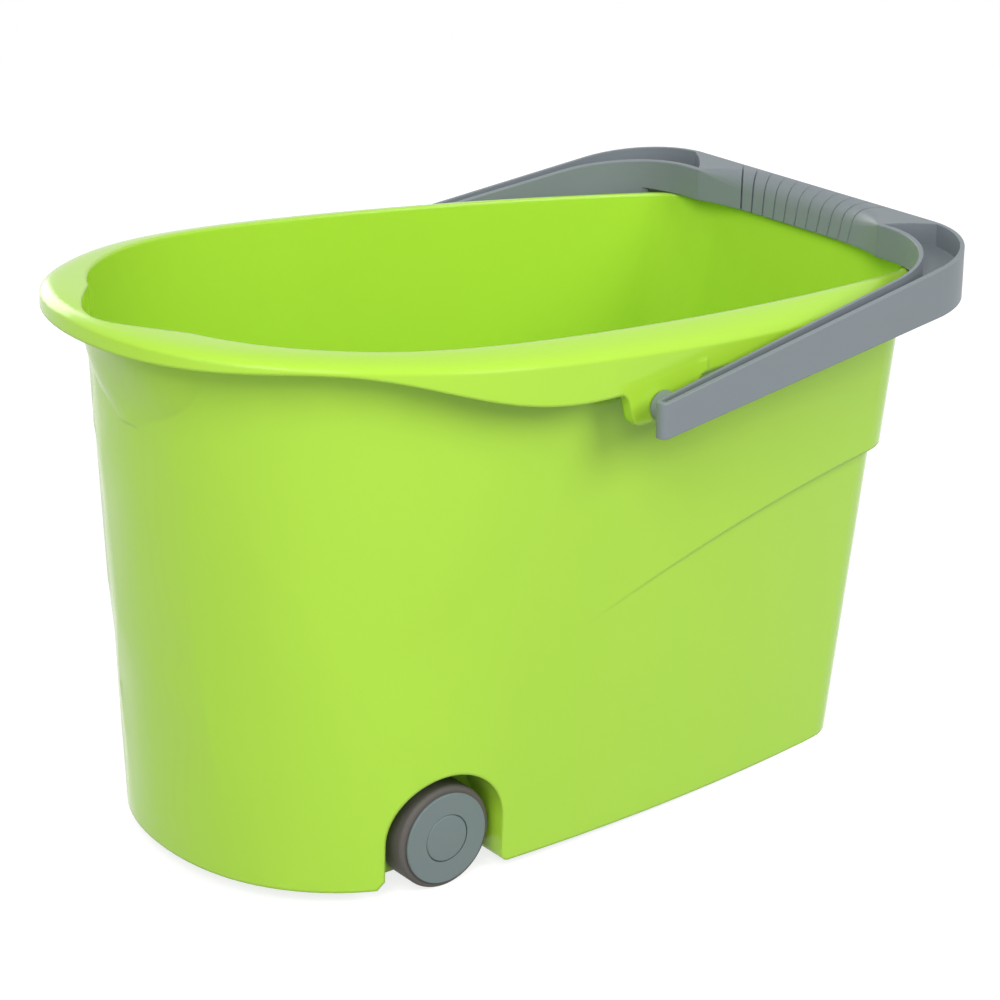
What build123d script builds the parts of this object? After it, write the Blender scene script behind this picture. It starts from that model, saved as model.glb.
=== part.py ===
"""Wheeled cleaning bucket: a moulded tub on two wheels, with a swinging bail handle.

Millimetres. +X runs from the spout to the grip end, +Z is up and the bucket stands on z = 0.
"""

import os
from math import atan, cos, degrees, radians, sin, tan

from build123d import *

os.makedirs("parts", exist_ok=True)

# Tub, outer faces of the wall at the mouth and at the base
wall = 2.5
widest_x = -28.0
rim_height = 248.8
rim_tilt = 4.5
mouth_front = -191.0
mouth_rear = 205.0
mouth_half_width = 115.3
mouth_rear_half_width = 85.0
mouth_fullness = 0.75
mouth_corner = 33.0
base_front = -181.6
base_rear = 167.0
base_half_width = 101.3
base_rear_half_width = 86.5
base_fullness = 0.775
base_corner = 24.0
base_tilt = 1.35
foot_flat = 34.0
floor_height = 14.0
floor_thickness = 3.0
floor_fillet = 10.0

# Recessed lower panel at the rear end, under a crease that falls away along the sides
recess_depth = 4.8
recess_side_depth = 2.6
recess_lead = 0.008
recess_fade = 0.03
recess_height = 147.5
recess_bend_x = 180.0
recess_end_x = -44.0
recess_end_height = 104.6

# Rolled rim and its hanging skirt
crest_flat = 0.3
crest_bevel = 0.6
rim_thickness = 2.2
rim_roll_drop = 7.0
rim_roll_front_drop = 4.0
rim_roll_flatness = 1.3
rim_roll_front_flatness = 0.7
rim_front_width = 20.1
rim_side_width = 15.2
rim_rear_width = 3.5
lip_fullness = 0.732
lip_depth = 6.6
lip_level_x = -190.0
lip_level_depth = 8.7
skirt_drop = 21.8
skirt_rise_start = -30.0
skirt_rise_end = -150.0

# Spout in the front of the rim
spout_lip = 3.2
spout_shoulder = 0.5
spout_half_width = 66.0
spout_flare_reach = 6.0
spout_flare_depth = 16.0
spout_depth = 50.0

# Wheels, on one axle under the floor
wheel_setback = 88.1
wheel_inset = 3.5
tyre_radius = 24.5
tyre_width = 16.5
tyre_thickness = 4.2
tyre_show = 3.0
tyre_shoulder = 2.0
tyre_fit_clearance = 0.02
hub_face_thickness = 1.4
hub_edge = 0.5
hub_wall = 2.0
hub_rib_count = 6
hub_rib_thickness = 1.6
axle_radius = 3.0
axle_chamfer = 0.6
bore_clearance = 0.06
axle_fit_clearance = 0.02
end_play = 0.2
washer_rim = 3.5
washer_thickness = 1.0
cap_radius = 11.2
cap_thickness = 1.8
cap_seam = 0.15
cap_dome = 0.4
cap_edge = 0.6
cap_seat_wall = 2.4
retainer_rim = 2.4
retainer_thickness = 1.2
retainer_slots = 6
retainer_slot_width = 0.8
axle_stickout = 1.5
axle_end_gap = 0.3
retainer_side_gap = 0.8
arch_clearance = 4.5
arch_lead = 1.0
arch_rise = 3.4
arch_corner = 4.0
tunnel_clearance = 3.0

# Lugs that carry the handle studs
pivot_x = -1.5
pivot_drop = 9.0
lug_thickness = 4.0
lug_half_width = 12.5
lug_root_half_width = 26.0
lug_margin = 3.0
lug_root_rise = 0.4
lug_sink = 1.65
lug_rib_thickness = 2.5

# Handle: lies back with its grip over the rear rim
stud_radius = 4.0
stud_clearance = 0.06
stud_side_gap = 0.3
stud_head_step = 0.8
stud_head_thickness = 2.0
collar_step = 3.0
arm_gap = 6.9
arm_pivot_width = 7.3
arm_end = 12.0
arm_pivot_height = 16.6
arm_inner_taper = 0.108
arm_outer_taper = 0.0868
end_roundness = 0.45
handle_overhang = 2.3
handle_rear_height = 25.0
handle_corner = 47.0
handle_inner_corner = 50.0
handle_edge = 0.6
handle_wall = 2.2
trough_depth = 11.0
trough_floor = 2.4
grip_rise = 20.8
grip_depth = 20.0
grip_half_length = 65.0
grip_hollow_half_length = 50.0
grip_flare = 28.0
pocket_slant = 0.8
grip_setback = 6.0
grip_lean = 3.0
grip_round_width = 10.0
grip_round_drop = 9.0
grip_end_share = 0.04
grip_shell = 3.0
handle_rim_gap = 0.6
handle_side_gap = 1.5
groove_count = 11
groove_pitch = 7.6
groove_width = 0.8
groove_depth = 0.6
groove_fan = 45.0

skirt_bottom = rim_height - skirt_drop
spout_reach = rim_front_width - spout_lip
floor_top = floor_height + floor_thickness
lug_outer_y = mouth_half_width + rim_side_width
lug_inner_y = lug_outer_y - lug_sink - lug_thickness
far_side = 2 * lug_outer_y
tall = 2 * rim_height

wheel_x = base_front + wheel_setback
wheel_z = tyre_radius
hub_face_y = base_half_width - wheel_inset
hub_width = hub_face_thickness + tyre_width
hub_radius = tyre_radius - tyre_show
hub_seat_radius = tyre_radius - tyre_thickness
hub_boss_radius = cap_radius + cap_seam + cap_seat_wall
arch_wall_y = hub_face_y - hub_width - end_play - washer_thickness
arch_radius = tyre_radius + arch_clearance
arch_x = wheel_x - arch_lead
arch_z = wheel_z + arch_rise
tunnel_radius = axle_radius + tunnel_clearance
washer_radius = axle_radius + washer_rim
retainer_radius = axle_radius + retainer_rim
axle_end_depth = cap_thickness + axle_end_gap
retainer_depth = axle_end_depth + axle_stickout
pocket_depth = retainer_depth + retainer_thickness + end_play

pivot_z = skirt_bottom - pivot_drop
lug_bottom = pivot_z - stud_radius - lug_margin
lug_top = skirt_bottom + rim_thickness + lug_thickness
collar_radius = stud_radius + collar_step
handle_inner_y = lug_outer_y + arm_gap
handle_outer_y = handle_inner_y + arm_pivot_width
handle_rear = mouth_rear + rim_rear_width + handle_overhang
grip_x = handle_rear - grip_depth
rim_fall = tan(radians(rim_tilt))
roll_twist = (rim_roll_drop - rim_roll_front_drop) / (widest_x - mouth_front + rim_front_width)
arm_pivot_top = pivot_z + arm_pivot_height / 2
handle_rear_top = rim_height - handle_rear * rim_fall + grip_rise
handle_slope = (handle_rear_top - arm_pivot_top) / (handle_rear - pivot_x)

base_sink = foot_flat * tan(radians(base_tilt))


def falling_plane(x, z, tilt):
    """Plane through a point of the middle plane, that falls towards the rear by a tilt in degrees."""
    return Plane(
        origin=(x, 0, z),
        x_dir=(cos(radians(tilt)), 0, -sin(radians(tilt))),
        z_dir=(sin(radians(tilt)), 0, cos(radians(tilt))),
    )


rim_plane = falling_plane(0, rim_height, rim_tilt)
base_plane = falling_plane(base_rear, -base_sink, base_tilt)


def boat_face(plane, x_shift, front, rear, half_width, rear_half_width, fullness, corner, lead=0.0):
    """Plan outline of the tub: a round bow, bowed sides that may lead inwards, and a square rear."""
    bow = (widest_x + (front - widest_x) * fullness - x_shift, half_width * fullness)
    with BuildSketch(plane) as outline:
        with BuildLine():
            tip = (front - x_shift, 0)
            side = (widest_x - x_shift, half_width)
            Spline(tip, bow, side, tangents=((0, 1), (1, 0)))
            TangentArc(side, (rear - x_shift, rear_half_width), tangent=(1, -lead))
            Line((rear - x_shift, rear_half_width), (rear - x_shift, 0))
            mirror(about=Plane.XZ)
        make_face()
        fillet(outline.vertices().group_by(Axis.X)[-1], corner)
    return outline.sketch


def mouth_face(grow, rear_grow=None, rear_side_grow=None, lead=0.0, drop=0.0):
    """Outline of the wall's outer face at the rim, grown outwards, below the rim plane by drop."""
    rear_by = grow if rear_grow is None else rear_grow
    corner_by = grow if rear_side_grow is None else rear_side_grow
    return boat_face(
        rim_plane.offset(-drop), 0, mouth_front - grow, mouth_rear + rear_by, mouth_half_width + grow,
        mouth_rear_half_width + corner_by, mouth_fullness, mouth_corner + grow, lead,
    )


def base_face(grow, rear_grow=None, rear_side_grow=None, lead=0.0):
    """Outline of the wall's outer face at the base, grown outwards."""
    rear_by = grow if rear_grow is None else rear_grow
    corner_by = grow if rear_side_grow is None else rear_side_grow
    return boat_face(
        base_plane, base_rear, base_front - grow, base_rear + rear_by, base_half_width + grow,
        base_rear_half_width + corner_by, base_fullness, base_corner + grow, lead,
    )


def hull(grow, top_drop):
    """Solid within the tub's wall, from the base to near the rim plane, with the rear panel stepped in."""
    crease_z = recess_height - grow
    crease_end_z = recess_end_height - grow
    rear_x = 2 * mouth_rear
    stepped = (grow + recess_fade, grow - recess_depth, grow - recess_side_depth, recess_lead)
    with BuildPart() as core:
        loft([base_face(*stepped), mouth_face(*stepped, drop=top_drop)])
    with BuildPart() as ring:
        with BuildSketch(Plane.XZ):
            with BuildLine():
                Line((rear_x, crease_z), (recess_bend_x, crease_z))
                TangentArc((recess_bend_x, crease_z), (recess_end_x, crease_end_z), tangent=(-1, 0))
                Polyline((recess_end_x, crease_end_z), (recess_end_x, -floor_height),
                         (rear_x, -floor_height), (rear_x, crease_z))
            make_face()
        extrude(amount=far_side, both=True)
        add(core.part, mode=Mode.SUBTRACT)
    with BuildPart() as body:
        loft([base_face(grow), mouth_face(grow, drop=top_drop)])
        add(ring.part, mode=Mode.SUBTRACT)
    return body.part


def rim_face(share, front_share, grow, fall_share, lower):
    """Outline of the rim at shares of its width and of its drop, from the crest (0) to the skirt (1)."""
    level = rim_height - lower - fall_share * (rim_roll_drop - roll_twist * widest_x)
    tilt = degrees(atan(rim_fall + fall_share * roll_twist))
    crest = grow - crest_flat
    rear_by = crest + share * (rim_rear_width + crest_flat)
    return boat_face(
        falling_plane(0, level, tilt), 0, mouth_front - crest - front_share * (rim_front_width + crest_flat),
        mouth_rear + rear_by, mouth_half_width + crest + share * (rim_side_width + crest_flat),
        mouth_rear_half_width + rear_by, mouth_fullness + share * (lip_fullness - mouth_fullness),
        mouth_corner + rear_by,
    )


def rolled_cover(grow, lower):
    """Solid under a roll from the crest to the skirt, flatter at the front, with the skirt below it."""
    sections = []
    for angle in (0, 30, 60, 90):
        out = sin(radians(angle))
        fall = 1 - cos(radians(angle)) ** rim_roll_flatness
        sections.append(rim_face(out**rim_roll_flatness, out**rim_roll_front_flatness, grow, fall, lower))
    with BuildPart() as cover:
        loft(sections)
        extrude(rim_face(1, 1, grow, 1, lower), amount=-tall / 8)
    return cover.part


def spout_solid(grow):
    """Wedge that widens from the wall up to the pouring channel at the rim, grown for its shell."""
    front = mouth_front + wall
    foot = front + spout_half_width / 3
    back = foot + spout_half_width
    buried = -2 * wall
    sections = []
    for drop, tip, bend, half in (
        (-crest_bevel, spout_reach, spout_shoulder, spout_half_width),
        (spout_flare_depth, spout_flare_reach, 0, spout_half_width - spout_flare_depth / 2),
        (spout_depth, buried, 2 * buried, spout_half_width - spout_depth / 2),
    ):
        edge = half + grow
        shoulder = (front - bend - grow, edge / 2)
        with BuildSketch(rim_plane.offset(-drop)) as section:
            with BuildLine():
                Spline((foot, edge), shoulder, (front - tip - grow, 0),
                       (shoulder[0], -shoulder[1]), (foot, -edge))
                Polyline((foot, -edge), (back, -edge), (back, edge), (foot, edge))
            make_face()
        sections.append(section.sketch)
    with BuildPart() as wedge:
        loft(sections)
    return wedge.part


def arch_solid(grow):
    """Wheel arch on the +Y side, open downwards and outwards, grown by the wall for its shell."""
    with BuildPart() as arch:
        with BuildSketch(Plane.XZ.offset(grow - arch_wall_y)):
            with Locations((arch_x, arch_z)):
                Circle(arch_radius + grow)
                Rectangle(2 * (arch_radius + grow), tall / 8, align=(Align.CENTER, Align.MAX))
        extrude(amount=-far_side)
    return arch.part


def arch_corners():
    """What the round lower corners of the +Y wheel arch leave out of the wall's lower edge."""
    with BuildPart() as corners:
        with BuildSketch(Plane.XZ.offset(-arch_wall_y)):
            for way in (-1, 1):
                edge_x = arch_x + way * arch_radius
                edge_z = (base_rear - edge_x) * tan(radians(base_tilt)) - base_sink
                with Locations((edge_x + way * arch_corner / 2, edge_z)):
                    Rectangle(arch_corner, 2 * arch_corner)
                with Locations((edge_x + way * arch_corner, edge_z + arch_corner)):
                    Circle(arch_corner, mode=Mode.SUBTRACT)
        extrude(amount=-far_side)
    return corners.part


def tunnel_solid(grow):
    """Tunnel for the axle across the floor, open downwards, grown by the wall for its shell."""
    with BuildPart() as tunnel:
        with BuildSketch(Plane.XZ):
            with Locations((wheel_x, wheel_z)):
                Circle(tunnel_radius + grow)
                Rectangle(2 * (tunnel_radius + grow), tall / 8, align=(Align.CENTER, Align.MAX))
        extrude(amount=arch_wall_y - wall + grow / 2, both=True)
    return tunnel.part


def lug_face(plane):
    """Outline of a lug: a tongue with flowing sides below the skirt."""
    root_z = skirt_bottom + lug_root_rise
    with BuildSketch(plane) as tongue:
        with Locations((pivot_x, 0)):
            with BuildLine():
                Spline((-lug_root_half_width, root_z), (-lug_half_width, lug_bottom),
                       tangents=((1, 0), (1, 0)))
                Line((-lug_half_width, lug_bottom), (lug_half_width, lug_bottom))
                Spline((lug_half_width, lug_bottom), (lug_root_half_width, root_z),
                       tangents=((1, 0), (1, 0)))
                Polyline((lug_root_half_width, root_z), (lug_root_half_width, lug_top),
                         (-lug_root_half_width, lug_top), (-lug_root_half_width, root_z))
            make_face()
    return tongue.sketch


def skirt_trim():
    """Everything below the skirt's lower edge, which rises from the lugs to a level lip at the front."""
    rise_z = rim_height - skirt_rise_end * rim_fall - lip_depth
    level_z = rim_height - lip_level_x * rim_fall - lip_level_depth
    rear_x = 2 * mouth_rear
    front_x = 2 * mouth_front
    with BuildPart() as trim:
        with BuildSketch(Plane.XZ):
            with BuildLine():
                Line((rear_x, skirt_bottom), (skirt_rise_start, skirt_bottom))
                Spline((skirt_rise_start, skirt_bottom), (skirt_rise_end, rise_z), (lip_level_x, level_z),
                       tangents=((-1, 0), (-1, 0)))
                Polyline((lip_level_x, level_z), (front_x, level_z), (front_x, 0), (rear_x, 0),
                         (rear_x, skirt_bottom))
            make_face()
        extrude(amount=far_side, both=True)
        extrude(lug_face(Plane.XZ), amount=far_side, both=True, mode=Mode.SUBTRACT)
    return trim.part


def lug_solid():
    """Plate behind the skirt's tongue on the +Y side, with two gussets to the wall."""
    with BuildPart() as lug:
        extrude(lug_face(Plane.XZ.offset(-lug_inner_y)), amount=-lug_thickness)
        for rib_x in (pivot_x - lug_half_width, pivot_x + lug_half_width - lug_rib_thickness):
            with BuildSketch(Plane.YZ.offset(rib_x)):
                with BuildLine():
                    Polyline((lug_inner_y, lug_bottom + lug_margin), (lug_inner_y, lug_top),
                             (lug_inner_y - rim_side_width, lug_top), close=True)
                make_face()
            extrude(amount=lug_rib_thickness)
    return lug.part


def stud_hole():
    """Hole for the stud through the +Y lug."""
    with BuildPart() as hole:
        with BuildSketch(Plane.XZ.offset(lug_margin - lug_inner_y)):
            with Locations((pivot_x, pivot_z)):
                Circle(stud_radius + stud_clearance)
        extrude(amount=-far_side)
    return hole.part


def both_sides(part):
    """The part and its mirror image across the middle plane."""
    return [part, mirror(part, about=Plane.XZ)]


def handle_top(x):
    """Height of the handle's top edge."""
    return arm_pivot_top + handle_slope * (x - pivot_x)


def handle_bottom(x):
    """Height of the handle's lower edge, which falls away from the top towards the rear."""
    share = (x - pivot_x) / (handle_rear - pivot_x)
    return handle_top(x) - arm_pivot_height - share * (handle_rear_height - arm_pivot_height)


def loop_face(end_x, rear_x, pivot_y, taper, corner):
    """Plan outline of one side of the bail: two straight arms and a rear edge with round corners."""
    end_y = pivot_y - taper * (end_x - pivot_x)
    rear_y = pivot_y - taper * (rear_x - pivot_x)
    with BuildSketch() as loop:
        with BuildLine():
            Polyline((end_x, end_y), (rear_x, rear_y), (rear_x, -rear_y), (end_x, -end_y), close=True)
        make_face()
        fillet(loop.vertices().group_by(Axis.X)[-1], corner)
    return loop.sketch


def bail_face(inset):
    """Plan of the bail between its outer and inner edges, drawn in by the inset all round."""
    end_x = pivot_x - arm_end + inset
    with BuildSketch() as plan:
        add(loop_face(end_x, handle_rear - inset, handle_outer_y - inset, arm_outer_taper,
                      handle_corner - inset))
        add(loop_face(end_x - arm_end, grip_x + inset, handle_inner_y + inset, arm_inner_taper,
                      handle_inner_corner + inset), mode=Mode.SUBTRACT)
        fillet(plan.vertices().group_by(Axis.X)[0], end_roundness * (arm_pivot_width - 2 * inset))
    return plan.sketch


def bail_solid(inset, upper, lower):
    """The bail's plan, drawn in by the inset, between two heights that each follow x."""
    front_x = pivot_x - 2 * arm_end
    rear_x = handle_rear + arm_end
    with BuildPart() as bail:
        extrude(bail_face(inset), amount=tall)
        with BuildSketch(Plane.XZ):
            with BuildLine():
                Polyline((front_x, upper(front_x)), (rear_x, upper(rear_x)),
                         (rear_x, lower(rear_x)), (front_x, lower(front_x)), close=True)
            make_face()
        extrude(amount=far_side, both=True, mode=Mode.INTERSECT)
    return bail.part


def grip_front(plane, share, depth=0.0):
    """Section of the space before the grip's leaning, rounded face, at a share of its full roundness."""
    foot = (grip_x + share * grip_setback + depth, handle_bottom(grip_x))
    shoulder_x = foot[0] + share * grip_lean
    shoulder = (shoulder_x, handle_top(shoulder_x) - share * grip_round_drop)
    crown_x = shoulder_x + share * grip_round_width
    crown = (crown_x, handle_top(crown_x))
    clear_x = grip_x - grip_depth
    clear_z = handle_top(handle_rear) + grip_depth
    with BuildSketch(plane) as section:
        with BuildLine():
            Line(foot, shoulder)
            rise = (shoulder[0] - foot[0], shoulder[1] - foot[1])
            Spline(shoulder, crown, tangents=(rise, (1, handle_slope)))
            Polyline(crown, (crown[0], clear_z), (clear_x, clear_z), (clear_x, foot[1]), foot)
        make_face()
    return section.sketch


def stud_solid():
    """Pivot on the inside of the +Y arm: a collar, the stud through the lug, and its head."""
    collar_start = handle_inner_y + handle_wall / 2
    collar_end = lug_outer_y + stud_side_gap
    head_start = lug_inner_y - stud_side_gap
    head_end = head_start - stud_head_thickness
    with BuildPart() as stud:
        for start, end, radius in (
            (collar_start, collar_end, collar_radius),
            (collar_start, head_end, stud_radius),
            (head_start, head_end, stud_radius + stud_head_step),
        ):
            with BuildSketch(Plane.XZ.offset(-start)):
                with Locations((pivot_x, pivot_z)):
                    Circle(radius)
            extrude(amount=start - end)
        chamfer(stud.edges().group_by(Axis.Y)[0], stud_head_step)
    return stud.part


outer_hull = hull(0, rim_thickness / 2)
inner_hull = hull(-wall, -crest_bevel / 2)

with BuildPart() as rim_ring:
    add(rolled_cover(0, 0))
    add(rolled_cover(-rim_thickness, rim_thickness), mode=Mode.SUBTRACT)
    add(skirt_trim(), mode=Mode.SUBTRACT)

with BuildPart() as spout_shell:
    add(spout_solid(wall))
    add(rolled_cover(-rim_thickness / 2, rim_thickness / 2), mode=Mode.INTERSECT)

with BuildPart() as shells:
    add(both_sides(arch_solid(wall)))
    add(tunnel_solid(wall))

with BuildPart() as cavity:
    add(inner_hull)
    loft([mouth_face(-wall - crest_bevel, drop=2 * crest_bevel),
          mouth_face(2 * crest_bevel - wall, drop=-crest_bevel)])
    with Locations((0, 0, floor_top)):
        Box(tall, tall, tall, align=(Align.CENTER, Align.CENTER, Align.MAX), mode=Mode.SUBTRACT)
    fillet(cavity.edges().group_by(Axis.Z)[0], floor_fillet)
    add(shells.part, mode=Mode.SUBTRACT)

with BuildPart() as underside:
    add(inner_hull)
    with Locations((0, 0, floor_height)):
        Box(tall, tall, tall, align=(Align.CENTER, Align.CENTER, Align.MIN), mode=Mode.SUBTRACT)
    add(shells.part, mode=Mode.SUBTRACT)

with BuildPart() as tub:
    add(outer_hull)
    add(spout_shell.part)
    add(rim_ring.part)
    add(both_sides(lug_solid()))
    add(cavity.part, mode=Mode.SUBTRACT)
    add(underside.part, mode=Mode.SUBTRACT)
    add(spout_solid(0), mode=Mode.SUBTRACT)
    add(both_sides(arch_solid(0)), mode=Mode.SUBTRACT)
    add(both_sides(arch_corners()), mode=Mode.SUBTRACT)
    add(both_sides(stud_hole()), mode=Mode.SUBTRACT)
    add(tunnel_solid(0), mode=Mode.SUBTRACT)
    with BuildSketch(Plane.XZ):
        with Locations((wheel_x, wheel_z)):
            Circle(axle_radius + axle_fit_clearance)
    extrude(amount=arch_wall_y, both=True, mode=Mode.SUBTRACT)
    Box(tall, tall, tall, align=(Align.CENTER, Align.CENTER, Align.MAX), mode=Mode.SUBTRACT)
tub.part.label = "tub"
export_step(tub.part, "parts/tub.step")

with BuildPart() as trough:
    add(bail_solid(handle_wall, lambda x: handle_top(x) + trough_depth,
                   lambda x: handle_top(x) - trough_depth))
    with BuildSketch():
        with BuildLine():
            grip_end = (grip_x, grip_half_length)
            pocket_end = (handle_rear, grip_half_length + grip_flare)
            Polyline((grip_x - grip_depth, 0), (grip_x - grip_depth, grip_half_length), grip_end)
            TangentArc(grip_end, pocket_end, tangent=(1, pocket_slant))
            Line(pocket_end, (handle_rear, 0))
            mirror(about=Plane.XZ)
        make_face()
    extrude(amount=tall, mode=Mode.SUBTRACT)

with BuildPart() as hollow:
    add(bail_solid(handle_wall, lambda x: handle_top(x) - trough_depth - trough_floor, lambda x: 0.0))
    hollow_x = grip_x + grip_setback + grip_lean + grip_shell
    with Locations((hollow_x, 0, 0)):
        Box(2 * grip_depth, 2 * grip_half_length, tall, align=(Align.MAX, Align.CENTER, Align.MIN),
            mode=Mode.SUBTRACT)
    with BuildSketch(Plane.XZ):
        with BuildLine():
            hollow_z = handle_top(grip_x) - grip_round_drop - grip_shell
            Polyline((hollow_x, 0), (hollow_x, hollow_z), (handle_rear - handle_wall, hollow_z),
                     (handle_rear - handle_wall, 0), close=True)
        make_face()
    extrude(amount=grip_hollow_half_length, both=True)

with BuildPart() as grip_cut:
    sections = []
    for angle in range(-90, 91, 18):
        along = sin(radians(angle))
        share = 1 - (1 - grip_end_share) * along**4
        sections.append(grip_front(Plane.XZ.offset(along * grip_half_length), share))
    loft(sections)

with BuildPart() as grooves:
    last_groove = (groove_count - 1) / 2
    for step in range(groove_count):
        offset_y = (step - last_groove) * groove_pitch
        fan = groove_fan * (step - last_groove) / last_groove
        with Locations(Location((grip_x + grip_setback, offset_y, handle_rear_top), (0, 0, fan))):
            Box(2 * grip_depth, groove_width, 2 * handle_rear_height)
    extrude(grip_front(Plane.XZ, 1, groove_depth), amount=grip_half_length, both=True, mode=Mode.INTERSECT)

with BuildPart() as handle:
    add(bail_solid(0, handle_top, handle_bottom))
    fillet(handle.faces().sort_by(Axis.Z)[-1].edges(), handle_edge)
    add(grip_cut.part, mode=Mode.SUBTRACT)
    add(grooves.part, mode=Mode.SUBTRACT)
    add(trough.part, mode=Mode.SUBTRACT)
    add(hollow.part, mode=Mode.SUBTRACT)
    extrude(rim_face(1, 1, handle_side_gap, 0, -handle_rim_gap), amount=-tall / 4, mode=Mode.SUBTRACT)
    add(both_sides(stud_solid()))
handle.part.label = "handle"
export_step(handle.part, "parts/handle.step")

with BuildPart() as axle:
    with BuildSketch(Plane.XZ):
        with Locations((wheel_x, wheel_z)):
            Circle(axle_radius)
    extrude(amount=hub_face_y - axle_end_depth, both=True)
    chamfer(axle.edges().filter_by(GeomType.CIRCLE), axle_chamfer)
axle.part.label = "axle"
export_step(axle.part, "parts/axle.step")

for side_name, side in (("left", -1), ("right", 1)):
    face_plane = Plane(origin=(wheel_x, side * hub_face_y, wheel_z), x_dir=(1, 0, 0), z_dir=(0, side, 0))

    with BuildPart(face_plane) as hub:
        with BuildSketch(face_plane):
            Circle(hub_radius)
        extrude(amount=-hub_face_thickness)
        fillet(hub.edges().filter_by(GeomType.CIRCLE), hub_edge)
        with BuildSketch(face_plane.offset(-hub_face_thickness)):
            Circle(hub_seat_radius)
            Circle(hub_seat_radius - hub_wall, mode=Mode.SUBTRACT)
            Circle(hub_boss_radius)
        extrude(amount=-tyre_width)
        with BuildSketch(face_plane.offset(-hub_face_thickness)):
            with PolarLocations(0, hub_rib_count):
                Rectangle(hub_seat_radius - hub_wall / 2, hub_rib_thickness,
                          align=(Align.MIN, Align.CENTER))
        extrude(amount=hub_wall - tyre_width)
        with BuildSketch(face_plane):
            Circle(cap_radius + cap_seam)
        extrude(amount=-cap_thickness, mode=Mode.SUBTRACT)
        with BuildSketch(face_plane):
            Circle(retainer_radius + retainer_side_gap)
        extrude(amount=-pocket_depth, mode=Mode.SUBTRACT)
        with BuildSketch(face_plane):
            Circle(axle_radius + bore_clearance)
        extrude(amount=-hub_width, mode=Mode.SUBTRACT)
    hub.part.label = "hub_" + side_name
    export_step(hub.part, "parts/hub_" + side_name + ".step")

    with BuildPart() as tyre:
        with BuildSketch(face_plane.offset(-hub_face_thickness)):
            Circle(tyre_radius)
        extrude(amount=-tyre_width)
        fillet(tyre.edges().filter_by(GeomType.CIRCLE), tyre_shoulder)
        with BuildSketch(face_plane.offset(-hub_face_thickness)):
            Circle(hub_seat_radius + tyre_fit_clearance)
        extrude(amount=-tyre_width, mode=Mode.SUBTRACT)
    tyre.part.label = "tyre_" + side_name
    export_step(tyre.part, "parts/tyre_" + side_name + ".step")

    with BuildPart() as hub_cap:
        with BuildSketch(Plane(origin=face_plane.origin, x_dir=(1, 0, 0), z_dir=(0, 0, 1))):
            with BuildLine():
                Polyline((cap_radius, -side * cap_edge), (cap_radius, -side * cap_thickness),
                         (0, -side * cap_thickness), (0, side * cap_dome))
                ThreePointArc((0, side * cap_dome), (cap_radius / 2, side * cap_dome * 3 / 4),
                              (cap_radius - cap_edge, 0))
                Line((cap_radius - cap_edge, 0), (cap_radius, -side * cap_edge))
            make_face()
        revolve(axis=Axis(face_plane.origin, (0, 1, 0)))
    hub_cap.part.label = "hub_cap_" + side_name
    export_step(hub_cap.part, "parts/hub_cap_" + side_name + ".step")

    with BuildPart() as washer:
        with BuildSketch(Plane.XZ.offset(-side * arch_wall_y)):
            with Locations((wheel_x, wheel_z)):
                Circle(washer_radius)
                Circle(axle_radius + axle_fit_clearance, mode=Mode.SUBTRACT)
        extrude(amount=-side * washer_thickness)
    washer.part.label = "washer_" + side_name
    export_step(washer.part, "parts/washer_" + side_name + ".step")

    with BuildPart() as retainer:
        with BuildSketch(face_plane.offset(-retainer_depth)):
            Circle(retainer_radius)
            Circle(axle_radius + axle_fit_clearance, mode=Mode.SUBTRACT)
            with PolarLocations(axle_radius, retainer_slots):
                Rectangle(retainer_rim, retainer_slot_width, mode=Mode.SUBTRACT)
        extrude(amount=-retainer_thickness)
    retainer.part.label = "retainer_" + side_name
    export_step(retainer.part, "parts/retainer_" + side_name + ".step")
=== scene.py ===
"""Looks of the wheeled cleaning bucket: plastic, rubber and steel finishes, studio light and the photo's camera."""

from math import cos, radians, sin

import bmesh
import bpy
from mathutils import Matrix, Vector

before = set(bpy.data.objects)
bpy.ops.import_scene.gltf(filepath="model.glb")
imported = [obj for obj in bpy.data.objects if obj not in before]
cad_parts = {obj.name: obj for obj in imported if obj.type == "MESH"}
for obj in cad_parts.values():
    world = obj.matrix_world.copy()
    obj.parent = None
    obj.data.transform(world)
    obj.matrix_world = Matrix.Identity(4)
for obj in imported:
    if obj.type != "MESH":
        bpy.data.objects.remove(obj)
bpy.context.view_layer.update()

# Camera, fitted to the photograph's outline of the rim, base and wheel: degrees, metres and lens in millimetres
CAMERA_AZIMUTH = 37.81
CAMERA_ELEVATION = 21.42
CAMERA_ROLL = 0.14
CAMERA_DISTANCE = 1.3396
CAMERA_LENS = 100.98
CAMERA_TARGET = Vector((0.0117, 0.0, 0.1305))

# Colours, scene linear
GREEN = (0.41, 0.71, 0.045)
GREY = (0.20, 0.23, 0.25)
WHEEL_GREY = (0.155, 0.20, 0.20)
TYRE_BROWN = (0.105, 0.095, 0.088)
STEEL = (0.62, 0.62, 0.60)
WHITE = (1, 1, 1, 1)

# Noise patterns: scale in cycles per metre, detail and roughness
FLOW_MARKS = (9.0, 3.0, 0.5)
SMUDGES = (40.0, 4.0, 0.6)
STEEL_STAINS = (60.0, 4.0, 0.6)
STEEL_SCRATCHES = (300.0, 2.0, 0.5)
GRAIN_DETAIL = 2.0
GRAIN_ROUGHNESS = 0.5

# Gloss of the finishes
PLASTIC_SPECULAR = 0.38
SMUDGE_SPREAD = 0.04
STEEL_STAIN_SPREAD = 0.08
STEEL_ROUGHNESS_LOW = 0.25
STEEL_ROUGHNESS_HIGH = 0.4

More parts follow.
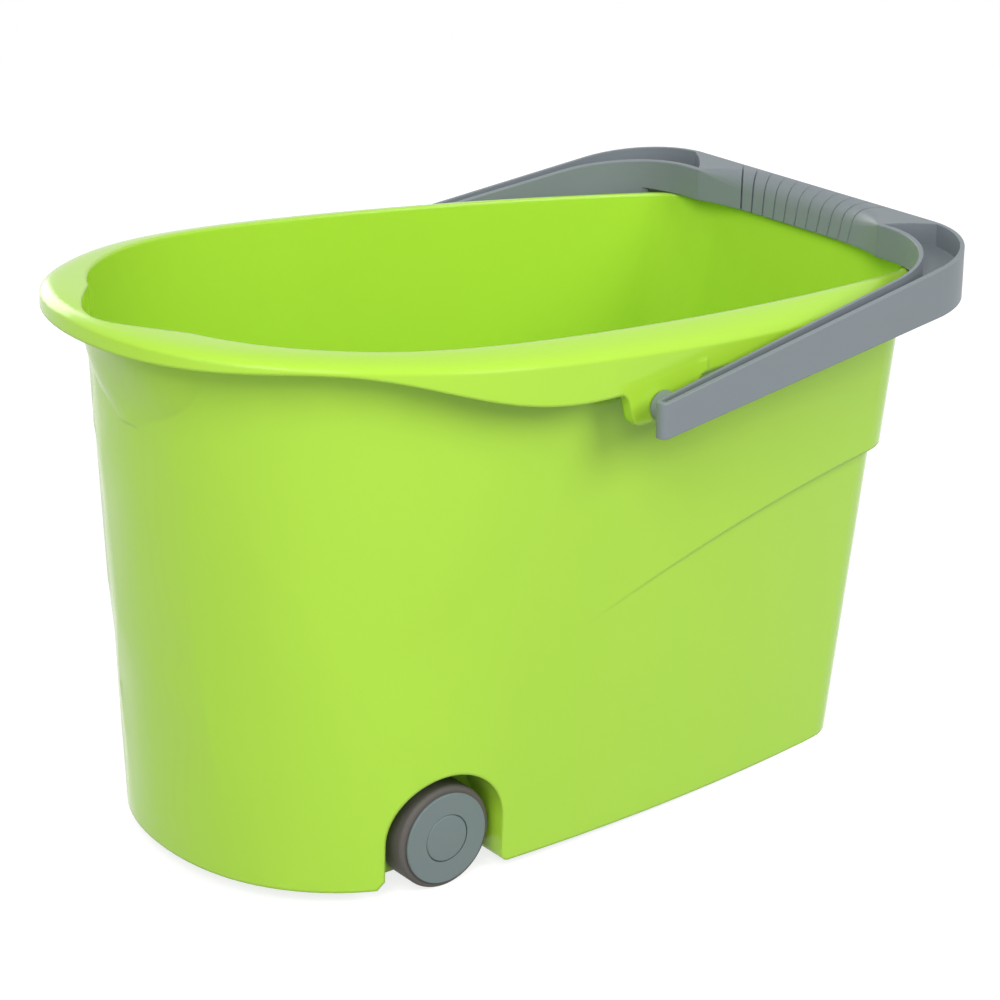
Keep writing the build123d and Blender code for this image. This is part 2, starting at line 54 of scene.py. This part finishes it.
# Studio: level of the surroundings as light, floor, and soft boxes by name, place, size in metres and power in watts
AMBIENT_LEVEL = 0.36
FLOOR_RADIUS = 1.6
FLOOR_SEGMENTS = 96
FLOOR_GREY = 0.34
FLOOR_GLOW = 0.78
LAMP_AIM = (0, 0, 0.15)
LAMPS = (
    ("key", (-1.4, -1.4, 2.05), 1.5, 40),
    ("fill", (0.9, -2.0, 1.5), 1.2, 31),
    ("left", (-2.2, -1.0, 0.9), 2.0, 15),
    ("edge", (0.0, 2.2, 0.8), 1.2, 18),
)


def new_material(name):
    """A material with its node tree and its shader."""
    material = bpy.data.materials.new(name)
    material.use_nodes = True
    tree = material.node_tree
    return material, tree, tree.nodes["Principled BSDF"]


def noise(tree, scale, detail, roughness):
    """Noise in the object's own coordinates, in metres."""
    coordinates = tree.nodes.new("ShaderNodeTexCoord")
    texture = tree.nodes.new("ShaderNodeTexNoise")
    texture.inputs["Scale"].default_value = scale
    texture.inputs["Detail"].default_value = detail
    texture.inputs["Roughness"].default_value = roughness
    tree.links.new(coordinates.outputs["Object"], texture.inputs["Vector"])
    return texture.outputs["Fac"]


def ramp(tree, value, low, high):
    """Maps a 0 to 1 value onto the range from low to high."""
    node = tree.nodes.new("ShaderNodeMapRange")
    node.inputs["To Min"].default_value = low
    node.inputs["To Max"].default_value = high
    tree.links.new(value, node.inputs["Value"])
    return node.outputs["Result"]


def vary_colour(tree, shader, value, colour, spread):
    """Lets a value shift the base colour a little darker and lighter."""
    mix = tree.nodes.new("ShaderNodeMix")
    mix.data_type = "RGBA"
    mix.inputs["A"].default_value = tuple(c * (1 - spread) for c in colour) + (1,)
    mix.inputs["B"].default_value = tuple(min(c * (1 + spread), 1) for c in colour) + (1,)
    tree.links.new(value, mix.inputs["Factor"])
    tree.links.new(mix.outputs["Result"], shader.inputs["Base Color"])


def relief(tree, shader, value, depth, edge_radius):
    """Surface relief of that depth in metres, over edges that catch the light as rounded ones do."""
    edge = tree.nodes.new("ShaderNodeBevel")
    edge.inputs["Radius"].default_value = edge_radius
    node = tree.nodes.new("ShaderNodeBump")
    node.inputs["Distance"].default_value = depth
    tree.links.new(value, node.inputs["Height"])
    tree.links.new(edge.outputs["Normal"], node.inputs["Normal"])
    tree.links.new(node.outputs["Normal"], shader.inputs["Normal"])


def plastic(name, colour, spread, roughness, grain_scale, grain_depth, edge_radius):
    """Moulded plastic or rubber: slight flow marks in colour, uneven gloss and a fine grain."""
    material, tree, shader = new_material(name)
    vary_colour(tree, shader, noise(tree, *FLOW_MARKS), colour, spread)
    gloss = ramp(tree, noise(tree, *SMUDGES), roughness - SMUDGE_SPREAD, roughness + SMUDGE_SPREAD)
    tree.links.new(gloss, shader.inputs["Roughness"])
    grain = noise(tree, grain_scale, GRAIN_DETAIL, GRAIN_ROUGHNESS)
    relief(tree, shader, grain, grain_depth, edge_radius)
    shader.inputs["Specular IOR Level"].default_value = PLASTIC_SPECULAR
    return material


def plated_steel(name):
    """Plated steel: stained a little, with fine scratches in its gloss."""
    material, tree, shader = new_material(name)
    vary_colour(tree, shader, noise(tree, *STEEL_STAINS), STEEL, STEEL_STAIN_SPREAD)
    shader.inputs["Metallic"].default_value = 1.0
    gloss = ramp(tree, noise(tree, *STEEL_SCRATCHES), STEEL_ROUGHNESS_LOW, STEEL_ROUGHNESS_HIGH)
    tree.links.new(gloss, shader.inputs["Roughness"])
    return material


def dress(material, *nodes):
    """Gives CAD nodes a material."""
    for node in nodes:
        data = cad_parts[node].data
        data.materials.clear()
        data.materials.append(material)


def add_camera():
    """Camera at the photograph's place."""
    azimuth = radians(CAMERA_AZIMUTH)
    elevation = radians(CAMERA_ELEVATION)
    roll = radians(CAMERA_ROLL)
    back = Vector((-sin(azimuth) * cos(elevation), -cos(azimuth) * cos(elevation), sin(elevation)))
    level = Vector((cos(azimuth), -sin(azimuth), 0))
    upright = back.cross(level)
    right = level * cos(roll) + upright * sin(roll)
    up = upright * cos(roll) - level * sin(roll)
    turn = Matrix((right, up, back)).transposed().to_4x4()
    data = bpy.data.cameras.new("camera")
    data.lens = CAMERA_LENS
    camera = bpy.data.objects.new("camera", data)
    camera.matrix_world = Matrix.Translation(CAMERA_TARGET + back * CAMERA_DISTANCE) @ turn
    bpy.context.scene.collection.objects.link(camera)
    bpy.context.scene.camera = camera


def add_area_light(name, place, size, power):
    """Square soft box that points at the bucket."""
    data = bpy.data.lights.new(name, "AREA")
    data.size = size
    data.energy = power
    light = bpy.data.objects.new(name, data)
    light.location = place
    light.rotation_euler = (Vector(LAMP_AIM) - Vector(place)).to_track_quat("-Z", "Y").to_euler()
    bpy.context.scene.collection.objects.link(light)


def seen_directly(tree):
    """1 for what the camera sees itself, in a reflection or through glass, and 0 for light on surfaces."""
    path = tree.nodes.new("ShaderNodeLightPath")
    value = path.outputs["Is Camera Ray"]
    for kind in ("Is Glossy Ray", "Is Transmission Ray"):
        either = tree.nodes.new("ShaderNodeMath")
        either.operation = "MAXIMUM"
        tree.links.new(value, either.inputs[0])
        tree.links.new(path.outputs[kind], either.inputs[1])
        value = either.outputs["Value"]
    return value


def add_world():
    """White surroundings: plain white to the camera and in reflections, a softer level as light."""
    world = bpy.data.worlds.new("studio")
    bpy.context.scene.world = world
    world.use_nodes = True
    tree = world.node_tree
    tree.nodes.clear()
    background = tree.nodes.new("ShaderNodeBackground")
    background.inputs["Color"].default_value = WHITE
    tree.links.new(ramp(tree, seen_directly(tree), AMBIENT_LEVEL, 1.0), background.inputs["Strength"])
    output = tree.nodes.new("ShaderNodeOutputWorld")
    tree.links.new(background.outputs["Background"], output.inputs["Surface"])


def add_floor():
    """Round pale floor that shows as white where no shadow falls on it."""
    mesh = bpy.data.meshes.new("floor")
    shape = bmesh.new()
    bmesh.ops.create_circle(shape, cap_ends=True, radius=FLOOR_RADIUS, segments=FLOOR_SEGMENTS)
    shape.to_mesh(mesh)
    shape.free()
    floor = bpy.data.objects.new("floor", mesh)
    bpy.context.scene.collection.objects.link(floor)
    material, tree, shader = new_material("floor_white")
    shader.inputs["Base Color"].default_value = (FLOOR_GREY, FLOOR_GREY, FLOOR_GREY, 1)
    shader.inputs["Roughness"].default_value = 1.0
    shader.inputs["Specular IOR Level"].default_value = 0.0
    shader.inputs["Emission Color"].default_value = WHITE
    tree.links.new(ramp(tree, seen_directly(tree), 0.0, FLOOR_GLOW), shader.inputs["Emission Strength"])
    mesh.materials.append(material)


green_plastic = plastic("green_plastic", GREEN, spread=0.03, roughness=0.17, grain_scale=700.0,
                        grain_depth=0.000006, edge_radius=0.002)
grey_plastic = plastic("grey_plastic", GREY, spread=0.05, roughness=0.42, grain_scale=1800.0,
                       grain_depth=0.00003, edge_radius=0.0005)
wheel_plastic = plastic("wheel_plastic", WHEEL_GREY, spread=0.05, roughness=0.36, grain_scale=1500.0,
                        grain_depth=0.00001, edge_radius=0.0004)
tyre_rubber = plastic("tyre_rubber", TYRE_BROWN, spread=0.10, roughness=0.70, grain_scale=1200.0,
                      grain_depth=0.00005, edge_radius=0.0004)
dress(green_plastic, "tub")
dress(grey_plastic, "handle")
dress(wheel_plastic, "hub_left", "hub_right", "hub_cap_left", "hub_cap_right")
dress(tyre_rubber, "tyre_left", "tyre_right")
dress(plated_steel("axle_steel"), "axle", "washer_left", "washer_right", "retainer_left", "retainer_right")

bpy.context.scene.view_settings.view_transform = "Standard"
add_camera()
add_world()
add_floor()
for lamp in LAMPS:
    add_area_light(*lamp)
